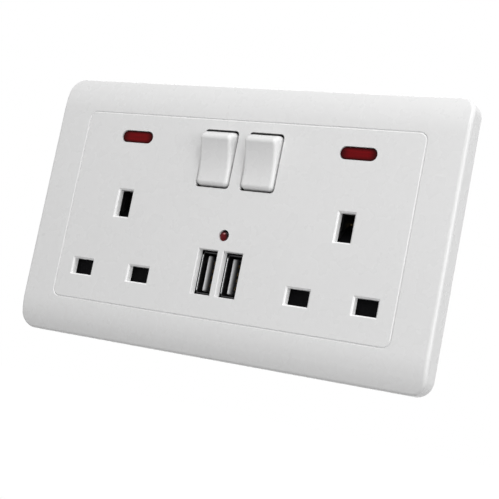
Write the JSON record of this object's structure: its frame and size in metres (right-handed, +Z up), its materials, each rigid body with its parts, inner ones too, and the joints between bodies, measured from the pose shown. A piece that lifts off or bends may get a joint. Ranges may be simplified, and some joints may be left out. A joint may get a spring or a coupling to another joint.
{
  "type": "double wall socket with usb ports",
  "caption": "White rectangular wall plate with shuttered mains outlets, rocker switches, red neon lenses and upright USB charging ports over a wired contact housing",
  "frame": {"origin": "on the wall plane, midway between the two fixing holes", "axes": "+X to the right as seen from the front, +Y into the wall, +Z up"},
  "size_m": [0.146, 0.0384, 0.086],
  "materials": {
    "cover_plastic": "glossy",
    "rocker_plastic": "glossy",
    "carrier_plastic": "matte",
    "shutter_plastic": "matte",
    "lens_plastic": "glossy",
    "led_plastic": "glossy",
    "lamp_glass": "clear",
    "brass": "satin",
    "screw_steel": "plated",
    "spring_steel": "plain",
    "plunger_plastic": "matte",
    "usb_metal": "plated",
    "usb_plastic": "matte",
    "usb_gold": "plated",
    "board": "satin",
    "ferrite": "matte",
    "can": "satin"
  },
  "bodies": {
    "housing": {"front_cover": "cover_plastic", "chassis": "carrier_plastic", "rear_cover": "carrier_plastic", "left_neon_lens": "lens_plastic", "right_neon_lens": "lens_plastic", "charge_led": "led_plastic", "left_neon_lamp": "lamp_glass", "right_neon_lamp": "lamp_glass", "earth_bar": "brass", "neutral_bar": "brass", "live_bar": "brass", "earth_terminal": "brass", "neutral_terminal": "brass", "live_terminal": "brass", "left_live_contact": "brass", "right_live_contact": "brass", "case_screws": "screw_steel", "terminal_screws": "screw_steel", "left_shutter_spring": "spring_steel", "right_shutter_spring": "spring_steel", "left_usb_shell": "usb_metal", "right_usb_shell": "usb_metal", "left_usb_tongue": "usb_plastic", "right_usb_tongue": "usb_plastic", "left_usb_contacts": "usb_gold", "right_usb_contacts": "usb_gold", "usb_circuit_board": "board", "usb_transformer": "ferrite", "usb_capacitors": "can"},
    "left_rocker": {"left_rocker": "rocker_plastic", "left_plunger_spring": "spring_steel"},
    "left_plunger": {"left_plunger": "plunger_plastic"},
    "left_moving_contact": {"left_moving_contact": "brass"},
    "left_shutter": {"left_shutter": "shutter_plastic"},
    "right_rocker": {"right_rocker": "rocker_plastic", "right_plunger_spring": "spring_steel"},
    "right_plunger": {"right_plunger": "plunger_plastic"},
    "right_moving_contact": {"right_moving_contact": "brass"},
    "right_shutter": {"right_shutter": "shutter_plastic"}
  },
  "joints": [
    {"name": "left_rocker_tilt", "type": "hinge", "parent": "housing", "child": "left_rocker", "pos_m": [-0.0081, -0.0049, 0.0187], "axis": [1, 0, 0], "range_deg": [-24, 0]},
    {"name": "left_plunger_slide", "type": "slide", "parent": "left_rocker", "child": "left_plunger", "axis": [0, -0.9781, -0.2079], "range_m": [0, 0.0008], "stiffness_N_per_m": 800, "springref_m": -0.002, "deforming": ["left_plunger_spring"]},
    {"name": "left_contact_tilt", "type": "hinge", "parent": "housing", "child": "left_moving_contact", "pos_m": [-0.0081, 0.00965, 0.0187], "axis": [1, 0, 0], "range_deg": [0, 22.1]},
    {"name": "left_shutter_slide", "type": "slide", "parent": "housing", "child": "left_shutter", "axis": [0, 0, -1], "range_m": [0, 0.0065], "stiffness_N_per_m": 60, "springref_m": -0.01, "deforming": ["left_shutter_spring"]},
    {"name": "right_rocker_tilt", "type": "hinge", "parent": "housing", "child": "right_rocker", "pos_m": [0.0081, -0.0049, 0.0187], "axis": [1, 0, 0], "range_deg": [-24, 0]},
    {"name": "right_plunger_slide", "type": "slide", "parent": "right_rocker", "child": "right_plunger", "axis": [0, -0.9781, -0.2079], "range_m": [0, 0.0008], "stiffness_N_per_m": 800, "springref_m": -0.002, "deforming": ["right_plunger_spring"]},
    {"name": "right_contact_tilt", "type": "hinge", "parent": "housing", "child": "right_moving_contact", "pos_m": [0.0081, 0.00965, 0.0187], "axis": [1, 0, 0], "range_deg": [0, 22.1]},
    {"name": "right_shutter_slide", "type": "slide", "parent": "housing", "child": "right_shutter", "axis": [0, 0, -1], "range_m": [0, 0.0065], "stiffness_N_per_m": 60, "springref_m": -0.01, "deforming": ["right_shutter_spring"]}
  ],
  "couplings": [
    {"joint": "left_contact_tilt", "follows": "left_rocker_tilt", "ratio": -0.91667},
    {"joint": "right_contact_tilt", "follows": "right_rocker_tilt", "ratio": -0.91667}
  ]
}
